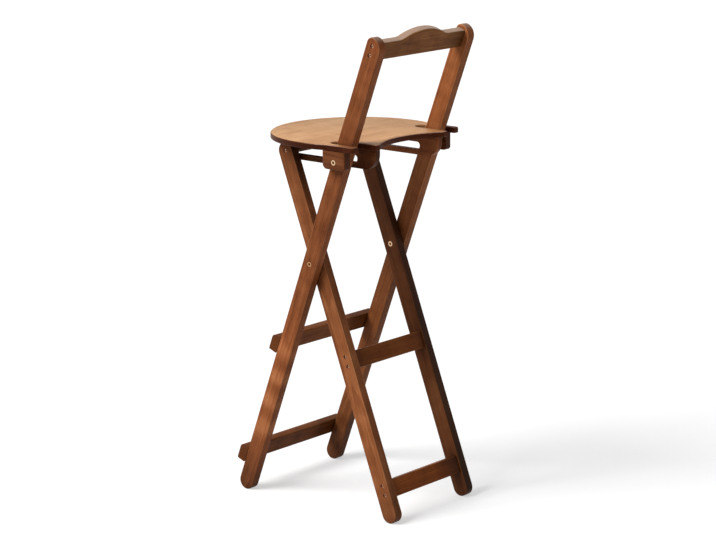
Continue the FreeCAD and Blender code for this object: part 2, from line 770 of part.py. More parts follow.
def group(label, frame, pattern, seats):
    """Copies of one fastener, each given by its place and the way it points, as one sub-part."""
    copies = []
    for place, direction in seats:
        copy = pattern.Shape.copy()
        origin = FreeCAD.Vector(*[value(part) for part in place])
        copy.Placement = FreeCAD.Placement(
            origin, FreeCAD.Rotation(FreeCAD.Vector(0, 0, 1), FreeCAD.Vector(*direction)))
        copies.append(copy)
    feature = doc.addObject("Part::Feature", label)
    feature.Label = label
    feature.Shape = Part.makeCompound(copies)
    stand(feature, frame)
    sub_parts.append(feature)
    return feature


def side_seats(distance, centres, outward=False):
    """Fastener seats on both sides of the stool, pointing across it at the given distance."""
    seats = []
    for side in SIDES.values():
        direction = (side, 0, 0) if outward else (-side, 0, 0)
        for back, up in centres:
            seats.append(((mirrored_x(side, distance), back, up), direction))
    return seats


def fasteners():
    screw = wood_screw("rail_screw_pattern", "screw_length")
    crest_places = [(CREST_DEPTH, up) for up in rail_screw_heights(CREST_CENTRE)]
    group("crest_rail_screws", LONG_FRAME, screw,
          side_seats("(long_outer - screw_bore_depth)", crest_places))
    rear_places = []
    for drop in REAR_RAILS.values():
        rear_places += [(REAR_RAIL_DEPTH, up) for up in rail_screw_heights(drop)]
    group("rear_rail_screws", SHORT_FRAME, screw,
          side_seats("(short_outer - screw_bore_depth)", rear_places))
    group("slide_rod_screws", SHORT_FRAME, screw,
          side_seats("(short_outer - screw_bore_depth)", [("0", "seat_pivot_reach")]))

    head_depth = "(screw_bore_depth - foot_radius - front_rail_thickness)"
    front_seats = []
    for side in SIDES.values():
        across = mirrored_x(side, "(long_outer - leg_thickness / 2)")
        for drop in FRONT_RAILS.values():
            front_seats += [((across, head_depth, up), (0, 1, 0)) for up in rail_screw_heights(drop)]
    group("front_rail_screws", LONG_FRAME, screw, front_seats)

    under_screw = wood_screw("under_screw_pattern", "under_screw_length")
    for label, places in (("pivot_block_screws", block_screw_places),
                          ("slide_rail_screws", slide_screw_places)):
        seats = []
        for side in SIDES.values():
            seats += [((across, back, UNDER_SCREW_REACH), (0, 0, 1)) for across, back in places(side)]
        group(label, SEAT_FRAME, under_screw, seats)

    cross = [("0", "0")]
    seat = [("0", "seat_pivot_reach")]
    bolt = pivot_bolt()
    group("cross_pivot_bolts", LONG_FRAME, bolt, side_seats("(long_outer - pivot_head_height)", cross))
    group("seat_pivot_bolts", LONG_FRAME, bolt, side_seats("(block_outer - pivot_head_height)", seat))
    cross_sleeve = sleeve_nut("cross_sleeve_pattern", "(long_outer - short_inner - %s)" % HEADS_AND_GAP)
    group("cross_pivot_nuts", LONG_FRAME, cross_sleeve,
          side_seats("(short_inner + pivot_head_height)", cross, outward=True))
    seat_sleeve = sleeve_nut("seat_sleeve_pattern", "(block_outer - long_inner - %s)" % HEADS_AND_GAP)
    group("seat_pivot_nuts", LONG_FRAME, seat_sleeve,
          side_seats("(long_inner + pivot_head_height)", seat, outward=True))
    ring = washer()
    group("cross_pivot_washers", LONG_FRAME, ring, side_seats("long_inner", cross))
    group("seat_pivot_washers", LONG_FRAME, ring, side_seats("long_outer", seat, outward=True))


# ----------------------------------------------------------------------------------------------
# The stool
# ----------------------------------------------------------------------------------------------

def check_document():
    for thing in doc.Objects:
        if "Invalid" in thing.State or "Error" in thing.State:
            raise RuntimeError("%s failed to recompute" % thing.Label)
    for part in sub_parts:
        if part.Shape.isNull() or not part.Shape.isValid():
            raise RuntimeError("%s has no valid shape" % part.Label)


for side_name, side_sign in SIDES.items():
    long_leg(side_name, side_sign)
    short_leg(side_name, side_sign)
    pivot_block(side_name, side_sign)
    slide_rail(side_name, side_sign)
for rail_label, rail_centre in FRONT_RAILS.items():
    front_rail(rail_label, rail_centre)
for rail_label, rail_centre in REAR_RAILS.items():
    rear_rail(rail_label, rail_centre)
crest_rail()
seat_board()
slide_rod()
fasteners()
doc.recompute()
check_document()

os.makedirs("parts", exist_ok=True)
for part in sub_parts:
    part.Shape.exportStep("parts/%s.step" % part.Label)
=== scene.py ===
"""Looks of the folding bar stool: stained wood, brass pivots, plated screws, a white studio and the camera.

Everything is in metres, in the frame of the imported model: +X is the sitter's left, +Y points to the
backrest and +Z is up.
"""

import json
import math

import bpy
from mathutils import Matrix, Vector


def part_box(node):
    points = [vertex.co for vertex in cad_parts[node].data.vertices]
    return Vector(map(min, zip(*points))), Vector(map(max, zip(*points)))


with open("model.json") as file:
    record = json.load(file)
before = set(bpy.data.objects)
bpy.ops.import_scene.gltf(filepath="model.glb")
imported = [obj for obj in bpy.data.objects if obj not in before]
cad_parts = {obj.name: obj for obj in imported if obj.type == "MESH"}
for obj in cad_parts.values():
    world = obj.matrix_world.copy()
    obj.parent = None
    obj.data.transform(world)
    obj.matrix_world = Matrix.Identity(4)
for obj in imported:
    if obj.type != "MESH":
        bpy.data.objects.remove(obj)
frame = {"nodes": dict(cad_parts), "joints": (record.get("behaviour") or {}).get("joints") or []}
bpy.context.view_layer.update()

# ----------------------------------------------------------------------------------------------
# Directions and places, from the frame
# ----------------------------------------------------------------------------------------------

PIVOTS = {joint["name"]: Vector(joint["pos_m"]) for joint in frame["joints"]}
CROSS_AXIS = PIVOTS["leg_fold"]
SEAT_AXIS = PIVOTS["seat_tilt"]

# The long legs lean back through both pivots, and the short legs lean forward by as much.
ACROSS = Vector((1, 0, 0))
BACK = Vector((0, 1, 0))
UP = Vector((0, 0, 1))
LONG_UP = (SEAT_AXIS - CROSS_AXIS).normalized()
LONG_DEPTH = LONG_UP.cross(ACROSS)
SHORT_UP = Vector((0, -LONG_UP.y, LONG_UP.z))
SHORT_DEPTH = SHORT_UP.cross(ACROSS)

# The high corner of the seat's box, both corners of the near long leg's box, and how far back the
# middle of that leg's stile is at the height of the seat's top.
SEAT_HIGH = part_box("seat_board")[1]
STILE_LOW, STILE_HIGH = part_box("long_leg_left")
STILE_AT_SEAT = (SEAT_HIGH.z - CROSS_AXIS.z) * LONG_UP.y / LONG_UP.z

# ----------------------------------------------------------------------------------------------
# Pieces
# ----------------------------------------------------------------------------------------------

# Each wooden node's thickness direction and grain direction.
WOOD = {
    "long_leg_left": (ACROSS, LONG_UP),
    "long_leg_right": (ACROSS, LONG_UP),
    "short_leg_left": (ACROSS, SHORT_UP),
    "short_leg_right": (ACROSS, SHORT_UP),
    "foot_rail": (LONG_DEPTH, ACROSS),
    "lower_front_rail": (LONG_DEPTH, ACROSS),
    "crest_rail": (LONG_DEPTH, ACROSS),
    "rear_mid_rail": (SHORT_DEPTH, ACROSS),
    "rear_low_rail": (SHORT_DEPTH, ACROSS),
    "pivot_block_left": (ACROSS, BACK),
    "pivot_block_right": (ACROSS, BACK),
    "slide_rail_left": (ACROSS, BACK),
    "slide_rail_right": (ACROSS, BACK),
    "slide_rod": (SHORT_DEPTH, ACROSS),
    "seat_board": (UP, ACROSS),
}

# How light a piece's colour is beside the standard stain, in red, green and blue: partly the stock's own
# tone, which differs from piece to piece, and partly painted light and shade, as on the rear rails and
# under the seat.
PIECE_TONE_AND_PAINTED_SHADE = {
    "long_leg_left": (1.00, 1.00, 1.00),
    "long_leg_right": (1.00, 1.08, 1.10),
    "short_leg_left": (1.00, 1.08, 1.14),
    "short_leg_right": (1.00, 1.05, 1.05),
    "foot_rail": (0.95, 0.95, 0.70),
    "lower_front_rail": (0.86, 0.86, 0.62),
    "crest_rail": (1.00, 1.20, 1.02),
    "rear_mid_rail": (0.80, 0.72, 0.46),
    "rear_low_rail": (0.96, 0.82, 0.52),
    "pivot_block_left": (0.62, 0.62, 0.62),
    "pivot_block_right": (0.60, 0.60, 0.60),
    "slide_rail_left": (0.50, 0.50, 0.50),
    "slide_rail_right": (1.25, 1.25, 1.25),
    "slide_rod": (0.60, 0.60, 0.60),
    "seat_board": (0.36, 0.25, 0.19),
}

# The colour also varies along the grain, as (place, shade) from a leg's foot, 0, to its top, 1, and
# from a rail's right end to its left end: partly the stain's own tone, partly painted light and shade, such
# as shade under the seat, near the feet and at rail ends beside the legs.
ALONG_TONE_AND_PAINTED_SHADE = {
    "long_leg_left": ((0.00, 0.50), (0.04, 0.60), (0.10, 1.00), (0.16, 1.16), (0.25, 1.18), (0.34, 1.36),
                      (0.45, 1.04), (0.74, 0.92), (0.86, 1.05), (1.00, 1.20)),
    "short_leg_left": ((0.00, 0.75), (0.06, 0.88), (0.12, 1.22), (0.46, 1.26), (0.56, 1.06), (0.66, 1.12),
                       (0.74, 1.04), (0.82, 1.14), (1.00, 0.80)),
    "long_leg_right": ((0.00, 0.60), (0.10, 0.62), (0.16, 1.05), (0.25, 1.08), (0.45, 0.84), (0.58, 1.22),
                       (0.80, 1.36), (0.90, 1.44), (1.00, 1.35)),
    "short_leg_right": ((0.00, 0.60), (0.09, 0.46), (0.15, 0.62), (0.36, 0.62), (0.46, 0.42), (0.62, 0.58),
                        (0.74, 0.54), (0.88, 0.72), (1.00, 0.85)),
    "foot_rail": ((0.00, 0.80), (0.10, 0.58), (0.20, 0.58), (0.30, 1.00), (1.00, 1.00)),
    "lower_front_rail": ((0.00, 0.80), (0.10, 0.62), (0.20, 0.58), (0.30, 1.00), (1.00, 1.00)),
    "crest_rail": ((0.00, 0.60), (0.10, 0.66), (0.20, 0.95), (0.35, 1.12), (0.65, 1.18), (0.80, 0.96),
                   (1.00, 0.90)),
    "rear_mid_rail": ((0.00, 0.52), (0.10, 0.96), (0.20, 1.08), (0.65, 1.08), (0.85, 0.90), (1.00, 0.80)),
    "rear_low_rail": ((0.00, 0.26), (0.10, 0.42), (0.25, 0.92), (0.35, 1.14), (0.90, 1.22), (1.00, 0.90)),
}

# Painted light and shade on the narrow faces that look back, as (place, shade) in the same way: darker
# where they are shaded, as under the seat, and lighter where light bounces onto them from the floor.
REAR_PAINTED_LIGHT_AND_SHADE = {
    "short_leg_left": ((0.00, 0.90), (0.82, 1.10), (0.90, 0.42), (1.00, 0.36)),
    "short_leg_right": ((0.00, 0.34), (0.26, 0.34), (0.56, 0.50), (1.00, 0.50)),
    "long_leg_left": ((0.00, 1.20), (0.12, 1.20), (0.20, 0.80), (0.46, 0.84), (0.54, 1.40), (0.75, 1.25),
                      (1.00, 1.10)),
}

# No shade is above this one. A colour ramp takes no more than 1, so it holds shares of it.
LIGHTEST_SHADE = 2.0

# Pieces that nothing rubs, whose edges keep their stain and get no painted highlight.
UNDER_SEAT = ("slide_rod", "slide_rail_left", "slide_rail_right", "pivot_block_left", "pivot_block_right",
              "seat_board")

# How much painted highlight the pieces of the backrest get on their upward faces at the top.
BACKREST_HIGHLIGHT_SHARE = {"crest_rail": 0.75, "long_leg_left": 0.35, "long_leg_right": 0.35}

# The screws whose counterbores open on a wooden node's broad face.
BORES = {
    "long_leg_left": ("crest_rail_screws",),
    "long_leg_right": ("crest_rail_screws",),
    "short_leg_left": ("rear_rail_screws", "slide_rod_screws"),
    "short_leg_right": ("rear_rail_screws", "slide_rod_screws"),
    "foot_rail": ("front_rail_screws",),
    "lower_front_rail": ("front_rail_screws",),
}


# ----------------------------------------------------------------------------------------------
# Node trees
# ----------------------------------------------------------------------------------------------

def srgb(red, green, blue):
    """An 8-bit display colour as the linear colour that Blender takes."""
    linear = []
    for channel in (red, green, blue):
        share = channel / 255
        linear.append(share / 12.92 if share <= 0.04045 else ((share + 0.055) / 1.055) ** 2.4)
    return (*linear, 1.0)


class Tree:
    """Short calls for building one node tree. A source is a socket to link or a value of its own."""

    # Noise keeps to the middle of its range, so this part of it is spread from 0 to 1.
    NOISE_LOW = 0.28
    NOISE_HIGH = 0.72

    def __init__(self, tree):
        self.tree = tree

    def add(self, kind, **settings):
        node = self.tree.nodes.new(kind)
        for name, setting in settings.items():
            setattr(node, name, setting)
        return node

    def put(self, socket, source):
        if isinstance(source, bpy.types.NodeSocket):
            self.tree.links.new(source, socket)
        else:
            socket.default_value = source

    def put_all(self, node, sources):
        for socket, source in zip(node.inputs, sources):
            self.put(socket, source)

    def math(self, operation, *sources, clamp=False):
        node = self.add("ShaderNodeMath", operation=operation, use_clamp=clamp)
        self.put_all(node, sources)
        return node.outputs[0]

    def vector(self, operation, *sources):
        node = self.add("ShaderNodeVectorMath", operation=operation)
        self.put_all(node, sources)
        by_value = operation in ("LENGTH", "DISTANCE", "DOT_PRODUCT")
        return node.outputs["Value" if by_value else "Vector"]

    def split(self, source):
        node = self.add("ShaderNodeSeparateXYZ")
        self.put(node.inputs[0], source)
        return node.outputs

    def join(self, across, along, up):
        node = self.add("ShaderNodeCombineXYZ")
        self.put_all(node, (across, along, up))
        return node.outputs[0]

    def turned(self, source, turn, shift=None):
        """A direction turned into other axes, or with a shift a place."""
        node = self.add("ShaderNodeMapping", vector_type="VECTOR" if shift is None else "POINT")
        node.inputs["Rotation"].default_value = turn.to_euler("XYZ")
        if shift is not None:
            node.inputs["Location"].default_value = shift
        self.put(node.inputs["Vector"], source)
        return node.outputs["Vector"]

    def remap(self, source, low, high, new_low=0.0, new_high=1.0, smooth=False):
        node = self.add("ShaderNodeMapRange", interpolation_type="SMOOTHSTEP" if smooth else "LINEAR")
        self.put_all(node, (source, low, high, new_low, new_high))
        return node.outputs[0]

    def rise(self, source, low, high):
        """A soft step from 0 at low to 1 at high."""
        return self.remap(source, low, high, smooth=True)

    def fall(self, source, low, high):
        """A soft step from 1 at low to 0 at high."""
        return self.remap(source, low, high, 1.0, 0.0, smooth=True)

    def noise(self, place, frequency, detail):
        """Noise from 0 to 1 with its own frequency, per metre, along each axis."""
        node = self.add("ShaderNodeTexNoise")
        self.put(node.inputs["Vector"], self.vector("MULTIPLY", place, frequency))
        node.inputs["Scale"].default_value = 1.0
        node.inputs["Detail"].default_value = detail
        return self.remap(node.outputs["Fac"], self.NOISE_LOW, self.NOISE_HIGH)

    def blend(self, share, first, second, mode="MIX"):
        node = self.add("ShaderNodeMix", data_type="RGBA", blend_type=mode)
        self.put(node.inputs[0], share)
        self.put(node.inputs[6], first)
        self.put(node.inputs[7], second)
        return node.outputs[2]

    def times(self, colour, shade, share=1.0):
        """The colour times the shade, or a share of the way there."""
        return self.blend(share, colour, shade, mode="MULTIPLY")

    def grey(self, level):
        return self.join(level, level, level)

    def ramp(self, source, stops):
        node = self.add("ShaderNodeValToRGB")
        elements = node.color_ramp.elements
        for _ in range(len(stops) - 2):
            elements.new(0.5)
        for element, (position, colour) in zip(elements, stops):
            element.position = position
            element.color = colour
        self.put(node.inputs[0], source)
        return node.outputs[0]

    def hollow(self, reach, shut, clear, darkest):
        """Painted shade: a level that falls from 1 to the darkest in corners and hollows, seen over the
        reach.
        """
        node = self.add("ShaderNodeAmbientOcclusion", samples=4)
        node.inputs["Distance"].default_value = reach
        return self.remap(node.outputs["AO"], shut, clear, darkest, 1.0)

    def bump(self, height, strength, depth):
        node = self.add("ShaderNodeBump")
        node.inputs["Strength"].default_value = strength
        node.inputs["Distance"].default_value = depth
        self.put(node.inputs["Height"], height)
        return node.outputs["Normal"]

    def from_axis(self, place, axis):
        """Distance of a place from the axis that runs along X through a point."""
        flat = self.vector("MULTIPLY", place, (0.0, 1.0, 1.0))
        return self.vector("DISTANCE", flat, (0.0, axis.y, axis.z))

    def surface(self, shader):
        output = self.add("ShaderNodeOutputMaterial")
        self.put(output.inputs["Surface"], shader.outputs[0])

    def principled(self, colour, roughness, normal):
        shader = self.add("ShaderNodeBsdfPrincipled")
        self.put(shader.inputs["Base Color"], colour)
        self.put(shader.inputs["Roughness"], roughness)
        self.put(shader.inputs["Normal"], normal)
        self.surface(shader)
        return shader


def new_material(name):
    material = bpy.data.materials.new(name)
    material.use_nodes = True
    material.node_tree.nodes.clear()
    return material, Tree(material.node_tree)


def dress(node, material):
    """Give a CAD node its material."""
    mesh = frame["nodes"][node].data
    mesh.materials.clear()
    mesh.materials.append(material)


# ----------------------------------------------------------------------------------------------
# Sawn wood: X goes through a piece, Y across its width and Z along its grain
# ----------------------------------------------------------------------------------------------

# The pith lies outside the piece, so that broad faces show arches and edges show straight lines.
PITH_OFFSET = (0.062, 0.007, 0.0)
RING_SPACING = 0.0036
# Within one ring, from 0 to 1: where the dark late wood comes in, and where it stops.
LATE_WOOD = (0.25, 0.90)
LATE_WOOD_END = (0.92, 1.00)
# How far the rings stray, slowly and in small waves.
RING_SWAY = 0.016
RING_WAVER = 0.0011

# The frequency of each noise, per metre, through, across and along the piece, and its detail.
SWAY_NOISE = ((9.0, 9.0, 1.6), 1.0)
WAVER_NOISE = ((70.0, 70.0, 9.0), 2.0)
RING_NOISE = ((30.0, 30.0, 4.0), 1.0)
STREAK_NOISE = ((330.0, 330.0, 5.0), 3.0)
FIBRE_NOISE = ((1500.0, 1500.0, 32.0), 2.0)
BLOTCH_NOISE = ((16.0, 16.0, 5.0), 2.0)
RIPPLE_NOISE = ((10.0, 14.0, 34.0), 1.0)
VESSEL_NOISE = ((2100.0, 2100.0, 75.0), 0.0)
EDGE_LIGHTENING_NOISE = ((40.0, 40.0, 24.0), 3.0)
CURL_NOISE = ((24.0, 24.0, 14.0), 1.0)

# The vessels that are open pores.
OPEN_PORE = (0.78, 0.92)

# What the tone is made of: where it starts, what lightens it and what darkens it.
TONE_START = 0.16
STREAK_SHARE = 0.24
FIBRE_SHARE = 0.16
BLOTCH_SHARE = 0.24
RIPPLE_SHARE = 0.16
RING_DARKNESS = 0.20
PORE_DARKNESS = 0.18


def growth_rings(tree, place):
    """1 on the late wood of the growth rings, and less where they are weak."""
    from_pith = tree.vector("SUBTRACT", place, PITH_OFFSET)
    radius = tree.vector("LENGTH", tree.vector("MULTIPLY", from_pith, (1.0, 1.0, 0.0)))
    for stray, noise in ((RING_SWAY, SWAY_NOISE), (RING_WAVER, WAVER_NOISE)):
        radius = tree.math("MULTIPLY_ADD", tree.noise(place, *noise), stray, radius)
    phase = tree.math("FRACT", tree.math("DIVIDE", radius, RING_SPACING))
    late = tree.math("MULTIPLY", tree.rise(phase, *LATE_WOOD), tree.fall(phase, *LATE_WOOD_END))
    return tree.math("MULTIPLY", late, tree.noise(place, *RING_NOISE))


def grain_group():
    """Figure of sawn wood: Tone runs from 0, dark, to 1, light. Pore and Fibre are for its relief."""
    group = bpy.data.node_groups.new("sawn_grain", "ShaderNodeTree")
    group.interface.new_socket("Place", in_out="INPUT", socket_type="NodeSocketVector")
    for name in ("Tone", "Pore", "Fibre"):
        group.interface.new_socket(name, in_out="OUTPUT", socket_type="NodeSocketFloat")
    tree = Tree(group)
    place = tree.add("NodeGroupInput").outputs["Place"]
    fibre = tree.noise(place, *FIBRE_NOISE)
    pore = tree.rise(tree.noise(place, *VESSEL_NOISE), *OPEN_PORE)

    tone = TONE_START
    for part, share in ((tree.noise(place, *STREAK_NOISE), STREAK_SHARE), (fibre, FIBRE_SHARE),
                        (tree.noise(place, *BLOTCH_NOISE), BLOTCH_SHARE),
                        (tree.noise(place, *RIPPLE_NOISE), RIPPLE_SHARE)):
        tone = tree.math("MULTIPLY_ADD", part, share, tone)
    tone = tree.math("SUBTRACT", tone, tree.math("MULTIPLY", growth_rings(tree, place), RING_DARKNESS))
    tone = tree.math("SUBTRACT", tone, tree.math("MULTIPLY", pore, PORE_DARKNESS), clamp=True)

    output = tree.add("NodeGroupOutput")
    tree.put_all(output, (tone, pore, fibre))
    return group


GRAIN = grain_group()

# Every piece is cut from a place of its own in the tree.
GOLDEN = 0.618034
CUT_THROUGH = 0.03
CUT_ACROSS = 0.02
CUT_ALONG = 0.73

# The seat is glued up from staves that run across it, each from a place of its own.
STAVE_WIDTH = 0.058
STAVE_ACROSS = 0.31
STAVE_ALONG = 0.47


def sawn_figure(tree, name, own, seed):
    """The outputs of the grain group for one piece."""
    cut = Vector(((seed * GOLDEN % 1 - 0.5) * CUT_THROUGH, (seed * GOLDEN * 2 % 1 - 0.5) * CUT_ACROSS,
                  seed * CUT_ALONG))
    place = tree.vector("ADD", own, cut)
    if name == "seat_board":
        _, across, _ = tree.split(own)
        stave = tree.math("FLOOR", tree.math("DIVIDE", across, STAVE_WIDTH))
        shift = tree.join(0.0, tree.math("MULTIPLY", stave, STAVE_ACROSS),
                          tree.math("MULTIPLY", stave, STAVE_ALONG))
        place = tree.vector("ADD", place, shift)
    figure = tree.add("ShaderNodeGroup", node_tree=GRAIN)
    tree.put(figure.inputs["Place"], place)
    return figure.outputs


# The near long leg has curly figure low down: light bars across the grain, a painted sheen. Places are
# along the grain from the leg's middle. One bar lies at CURL_BAR.
CURLY_LEG = "long_leg_left"
CURL_SPACING = 0.0588
CURL_BAR = -0.1766
CURL_FROM = (-0.42, -0.37)
CURL_TO = (-0.20, -0.12)
CURL_WAVER = 0.2
CURL_SHEEN = 0.15


def curly(tree, own, tone):
    """Lighter bars across the grain, where the leg has curly figure: a painted sheen."""
    _, _, along = tree.split(own)
    turn = tree.math("DIVIDE", tree.math("SUBTRACT", along, CURL_BAR), CURL_SPACING)
    waver = tree.math("SUBTRACT", tree.noise(own, *CURL_NOISE), 0.5)
    turn = tree.math("MULTIPLY_ADD", waver, CURL_WAVER, turn)
    bar = tree.math("COSINE", tree.math("MULTIPLY", turn, math.tau))
    bar = tree.math("MULTIPLY_ADD", bar, CURL_SHEEN, CURL_SHEEN)
    here = tree.math("MULTIPLY", tree.rise(along, *CURL_FROM), tree.fall(along, *CURL_TO))
    return tree.math("ADD", tone, tree.math("MULTIPLY", bar, here), clamp=True)


# ----------------------------------------------------------------------------------------------
# Stained and lacquered wood
# ----------------------------------------------------------------------------------------------

# From the darkest tone, 0, to the lightest, 1.
WOOD_STAIN = [
    (0.00, srgb(70, 35, 15)),
    (0.30, srgb(108, 57, 29)),
    (0.58, srgb(138, 79, 44)),
    (1.00, srgb(178, 114, 72)),
]
# The seat's top, lighter than its stained sides: partly its own stain, partly a painted sheen.
SEAT_TOP_STAIN_AND_SHEEN = [
    (0.00, srgb(155, 97, 54)),
    (0.30, srgb(190, 133, 82)),
    (0.58, srgb(215, 162, 109)),
    (1.00, srgb(237, 193, 143)),
]
# Rounded edges: lighter from wear, and a painted highlight.
EDGE_WEAR_AND_HIGHLIGHT = srgb(188, 126, 84)
BORE_WALL = srgb(150, 84, 54)
END_STAIN = srgb(64, 28, 10)
SEAT_CORNER = srgb(118, 62, 36)
# The painted highlight along the seat's rear rim.
RIM_HIGHLIGHT = srgb(232, 186, 160)
# The painted pale highlight on the top of the backrest.
BACKREST_HIGHLIGHT = srgb(206, 176, 154)

# How much of each of those colours shows.
END_SHARE = 0.45
LEAST_EDGE_LIGHTENING = 0.25
MOST_EDGE_LIGHTENING = 0.80
CORNER_SHARE = 0.85
NOTCH_SHARE = 0.80
RIM_SHARE = 0.80
RIM_SHARE_AT_CORNER = 0.16

# Which way a surface faces: soft steps in one part of its normal.
FACES_ALONG = (0.75, 0.98)
FACES_BACK = (0.50, 0.90)
FACES_UP = (0.72, 0.97)
RISES = (0.20, 0.50)
BACKREST_HIGHLIGHT_FACING = (0.45, 0.90)
# How far a surface is turned from both flat faces, on a rounded edge, and how much it is lightened there by
# wear and a painted highlight.
ROUNDED = (0.06, 0.28)
EDGE_LIGHTENING = (0.20, 0.90)

# The seat's rear corners, outward and rearward of these.
CORNER_OUTWARD = (SEAT_HIGH.x - 0.0975, SEAT_HIGH.x - 0.0375)
CORNER_REARWARD = (SEAT_HIGH.y - 0.087, SEAT_HIGH.y - 0.027)
# The rim gets a painted pale highlight behind this.
RIM_REARWARD = (0.0, 0.05)
# The walls of the notches that take the stiles, as far as the stile's front.
NOTCH_INNER = STILE_LOW.x - 0.0195
NOTCH_OUTER = STILE_HIGH.x + 0.0025
NOTCH_FRONT = STILE_AT_SEAT - 0.0475
STILE_FRONT = STILE_AT_SEAT - 0.0225
STILE_FRONT_FADE = 0.006
# The top of the backrest, whose upward faces get a painted highlight.
BACKREST_HIGHLIGHT_HEIGHT = (STILE_HIGH.z - 0.0284, STILE_HIGH.z - 0.0084)
# Painted light: the seat's top is lighter towards the sitter's left and the rear.
PAINTED_LIGHT_TOWARDS = (0.88, 0.47, 0.0)
PAINTED_LIGHT_REACH = 0.08
PAINTED_LIGHT_SWING = 0.13

BORE_RADIUS = 0.0040
BORE_RIM = 0.0003
# Screws within this height of a front rail's middle are its own.
RAIL_REACH = 0.03

# Reach, shut, clear and darkest of the painted shade in corners, see Tree.hollow.
WOOD_HOLLOW_SHADE = (0.014, 0.25, 0.80, 0.55)
FIBRE_RELIEF = 0.3
WOOD_BUMP = 0.25
WOOD_BUMP_DEPTH = 0.00012
SMOOTHEST_WOOD = 0.36
ROUGHEST_WOOD = 0.50
WOOD_SPECULAR = 0.06


def bore_axes(name, centre, thickness):
    """Axis points, from the piece's centre, of the counterbores that open on it, one for each screw."""
    axes = []
    for screws in BORES[name]:
        for vertex in frame["nodes"][screws].data.vertices:
            # One node holds the screws of two pieces: left and right, or one rail above the other.
            offset = vertex.co - centre
            if thickness == ACROSS:
                in_piece = vertex.co.x * centre.x > 0
            else:
                in_piece = abs(offset.dot(LONG_UP)) < RAIL_REACH
            if not in_piece:
                continue
            flat = offset - thickness * offset.dot(thickness)
            for axis in axes:
                if (flat - axis[0] / axis[1]).length < 2 * BORE_RADIUS:
                    axis[0] += flat
                    axis[1] += 1
                    break
            else:
                axes.append([flat.copy(), 1])
    return [total / count for total, count in axes]


def in_bores(tree, own, axes):
    """1 inside the counterbores whose axis points, in the piece's own axes, are given."""
    nearest = None
    for axis in axes:
        away = tree.from_axis(own, axis)
        nearest = away if nearest is None else tree.math("MINIMUM", nearest, away)
    return tree.remap(nearest, BORE_RADIUS, BORE_RADIUS + BORE_RIM, 1.0, 0.0)


def on_edge(tree, through):
    """1 on rounded edges, where the surface turns from a broad face to a narrow one."""
    sideways = tree.math("SUBTRACT", 1.0, tree.math("MULTIPLY", through, through), clamp=True)
    flat = tree.math("MAXIMUM", tree.math("ABSOLUTE", through), tree.math("SQRT", sideways))
    return tree.rise(tree.math("SUBTRACT", 1.0, flat), *ROUNDED)


def rear_corner(tree, spot):
    """1 on the seat's rear corners, round and behind the stiles."""
    across, along, _ = tree.split(spot)
    outward = tree.rise(tree.math("ABSOLUTE", across), *CORNER_OUTWARD)
    return tree.math("MULTIPLY", outward, tree.rise(along, *CORNER_REARWARD))


def in_notch(tree, spot):
    """1 on the notches' walls ahead of the stiles."""
    across, along, _ = tree.split(spot)
    outward = tree.math("ABSOLUTE", across)
    between = tree.math("MULTIPLY", tree.math("GREATER_THAN", outward, NOTCH_INNER),
                        tree.math("LESS_THAN", outward, NOTCH_OUTER))
    ahead = tree.math("MULTIPLY", tree.math("GREATER_THAN", along, NOTCH_FRONT),
                      tree.remap(along, STILE_FRONT, STILE_FRONT + STILE_FRONT_FADE, 1.0, 0.0))
    return tree.math("MULTIPLY", between, ahead)


def seat_colours(tree, spot, through, edge, tone, sides):
    """A light top on the seat's stained sides, partly its own stain and partly a painted sheen, with
    painted light towards one side, darker rear corners and a painted highlight along the rear rim.
    """
    # Painted light: the top is lighter towards the sitter's left and the rear.
    towards = tree.vector("DOT_PRODUCT", spot, PAINTED_LIGHT_TOWARDS)
    painted_light_level = tree.remap(towards, -PAINTED_LIGHT_REACH, PAINTED_LIGHT_REACH, 1 - PAINTED_LIGHT_SWING, 1 + PAINTED_LIGHT_SWING)
    light = tree.times(tree.ramp(tone, SEAT_TOP_STAIN_AND_SHEEN), tree.grey(painted_light_level))
    corner = rear_corner(tree, spot)
    top = tree.blend(tree.math("MULTIPLY", corner, CORNER_SHARE), light, SEAT_CORNER)
    sides = tree.blend(tree.math("MULTIPLY", in_notch(tree, spot), NOTCH_SHARE), sides, light)
    colour = tree.blend(tree.rise(through, *FACES_UP), sides, top)
    # A painted highlight along the rear rim.
    _, rearward, _ = tree.split(spot)
    rim = tree.math("MULTIPLY", edge, tree.rise(rearward, *RIM_REARWARD))
    rim = tree.math("MULTIPLY", rim, tree.rise(through, *RISES))
    rim = tree.math("MULTIPLY", rim, tree.remap(corner, 0.0, 1.0, RIM_SHARE, RIM_SHARE_AT_CORNER))
    return tree.blend(rim, colour, RIM_HIGHLIGHT)


def highlighted_top(tree, spot, normal):
    """1 on the upward faces at the top of the backrest, which get a painted pale highlight."""
    _, _, height = tree.split(spot)
    _, _, upward = tree.split(normal)
    return tree.math("MULTIPLY", tree.rise(height, *BACKREST_HIGHLIGHT_HEIGHT), tree.rise(upward, *BACKREST_HIGHLIGHT_FACING))


def along_piece(tree, place, shades):
    """A grey that runs through the shades from one end of the piece, place 0, to the other, place 1."""
    stops = [(share, (*[shade / LIGHTEST_SHADE] * 3, 1.0)) for share, shade in shades]
    return tree.vector("MULTIPLY", tree.ramp(place, stops), (LIGHTEST_SHADE,) * 3)


def shaded(tree, name, colour, own, wide, length):
    """The colour as light or dark as this piece's stain is, with painted light and shade per piece, along
    it and on its rear faces.
    """
    # The stain's own tone together with painted light and shade.
    colour = tree.times(colour, (*PIECE_TONE_AND_PAINTED_SHADE[name], 1.0))
    _, _, lengthwise = tree.split(own)
    place = tree.remap(lengthwise, -length / 2, length / 2)
    if name in ALONG_TONE_AND_PAINTED_SHADE:
        colour = tree.times(colour, along_piece(tree, place, ALONG_TONE_AND_PAINTED_SHADE[name]))
    if name in REAR_PAINTED_LIGHT_AND_SHADE:
        back = along_piece(tree, place, REAR_PAINTED_LIGHT_AND_SHADE[name])
        colour = tree.times(colour, back, share=tree.rise(wide, *FACES_BACK))
    return colour


